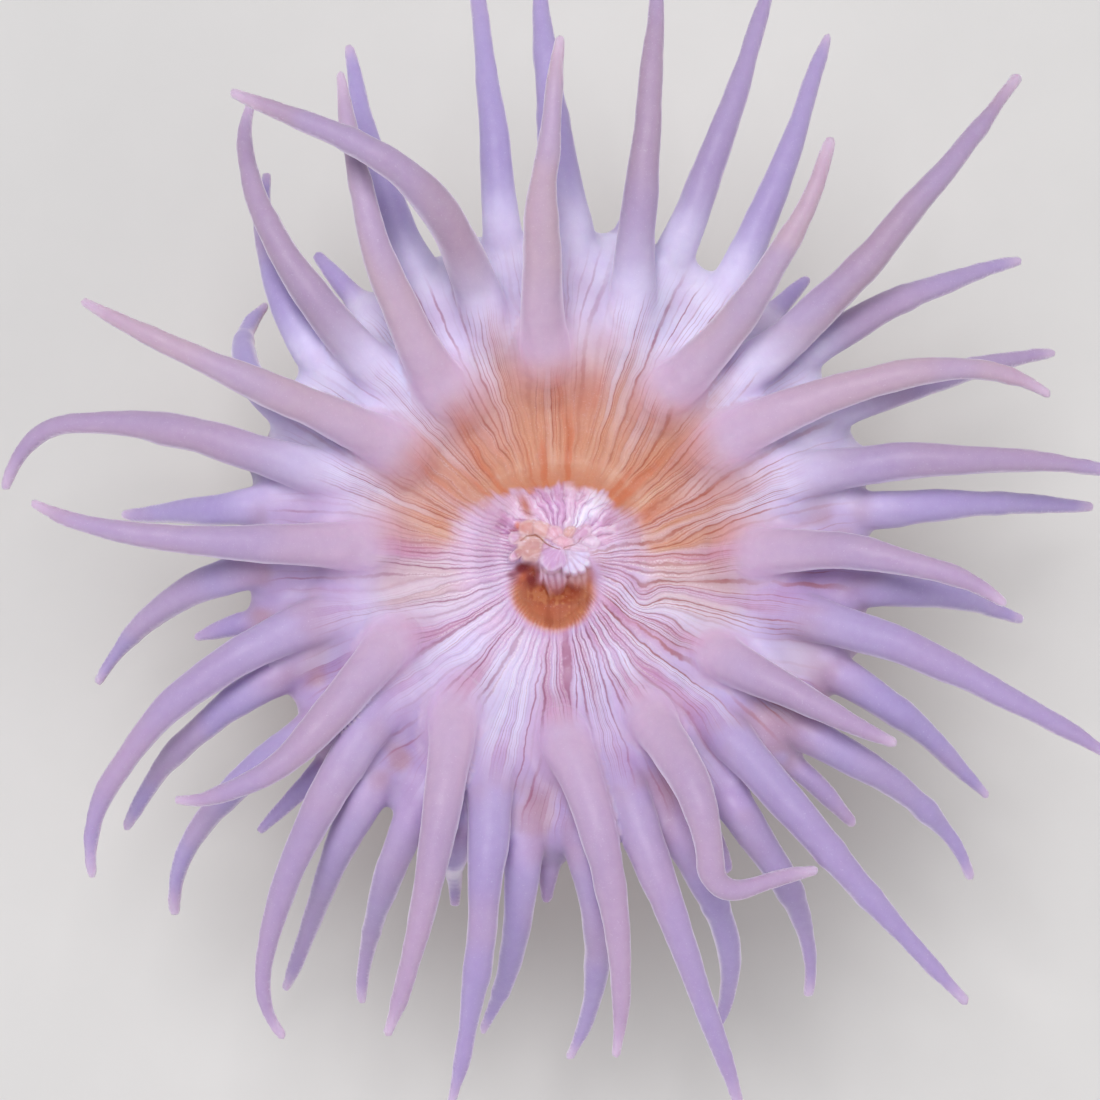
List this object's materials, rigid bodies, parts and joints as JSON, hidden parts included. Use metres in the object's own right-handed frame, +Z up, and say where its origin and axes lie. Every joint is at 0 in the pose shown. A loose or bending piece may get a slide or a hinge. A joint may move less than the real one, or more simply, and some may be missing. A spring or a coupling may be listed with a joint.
{
  "type": "sea anemone model",
  "caption": "Still life-size sea anemone, expanded: short column on a flat pedal disc, striped oral disc with a lobed mouth, ringed by long tapering tentacles.",
  "frame": {"origin": "middle of the pedal disc's flat underside, on the column's axis", "axes": "+Z up along the column's axis towards the mouth; the mouth lies a little off the middle towards -Y, and the throat opens on its -Y side"},
  "size_m": [0.1119, 0.1168, 0.0594],
  "materials": {
    "column": "moist flesh, tan to orange-brown with pale lengthwise stripes",
    "margin": "moist translucent flesh, pale lilac rim with fine brown streaks",
    "oral_disc": "moist flesh, orange round the back of the mouth, white-pink in front, with fine red-brown radial lines",
    "mouth": "moist pale lilac and pink lobes over an orange-brown throat",
    "tentacle_inner": "frosted translucent flesh, pinkish lilac",
    "tentacle_outer": "frosted translucent flesh, bluish lilac with paler rims"
  },
  "bodies": {
    "root": {"pedal_disc": "column", "column_lower": "column", "column_upper": "column", "margin_collar": "margin", "oral_disc": "oral_disc", "peristome": "mouth", "lip_back": "mouth", "lip_front": "mouth", "tentacle_inner_01": "tentacle_inner", "tentacle_inner_02": "tentacle_inner", "tentacle_inner_03": "tentacle_inner", "tentacle_inner_04": "tentacle_inner", "tentacle_inner_05": "tentacle_inner", "tentacle_inner_06": "tentacle_inner", "tentacle_inner_07": "tentacle_inner", "tentacle_inner_08": "tentacle_inner", "tentacle_inner_09": "tentacle_inner", "tentacle_inner_10": "tentacle_inner", "tentacle_inner_11_base": "tentacle_inner", "tentacle_inner_11_tip": "tentacle_inner", "tentacle_inner_12": "tentacle_inner", "tentacle_middle_01": "tentacle_inner", "tentacle_middle_02": "tentacle_inner", "tentacle_middle_03": "tentacle_inner", "tentacle_middle_04_base": "tentacle_inner", "tentacle_middle_04_tip": "tentacle_inner", "tentacle_middle_05": "tentacle_inner", "tentacle_middle_06_base": "tentacle_inner", "tentacle_middle_06_tip": "tentacle_inner", "tentacle_middle_07": "tentacle_inner", "tentacle_middle_08_base": "tentacle_inner", "tentacle_middle_08_tip": "tentacle_inner", "tentacle_middle_09": "tentacle_inner", "tentacle_middle_10": "tentacle_inner", "tentacle_middle_11": "tentacle_inner", "tentacle_middle_12": "tentacle_inner", "tentacle_outer_01": "tentacle_outer", "tentacle_outer_02": "tentacle_outer", "tentacle_outer_03": "tentacle_outer", "tentacle_outer_04": "tentacle_outer", "tentacle_outer_05": "tentacle_outer", "tentacle_outer_06": "tentacle_outer", "tentacle_outer_07": "tentacle_outer", "tentacle_outer_08": "tentacle_outer", "tentacle_outer_09": "tentacle_outer", "tentacle_outer_10": "tentacle_outer", "tentacle_outer_11": "tentacle_outer", "tentacle_outer_12": "tentacle_outer", "tentacle_outer_13": "tentacle_outer", "tentacle_outer_14": "tentacle_outer", "tentacle_outer_15": "tentacle_outer", "tentacle_outer_16": "tentacle_outer", "tentacle_outer_17": "tentacle_outer", "tentacle_outer_18": "tentacle_outer", "tentacle_outer_19": "tentacle_outer", "tentacle_outer_20": "tentacle_outer", "tentacle_outer_21": "tentacle_outer", "tentacle_outer_22": "tentacle_outer", "tentacle_outer_23": "tentacle_outer", "tentacle_outer_24": "tentacle_outer"}
  },
  "joints": []
}
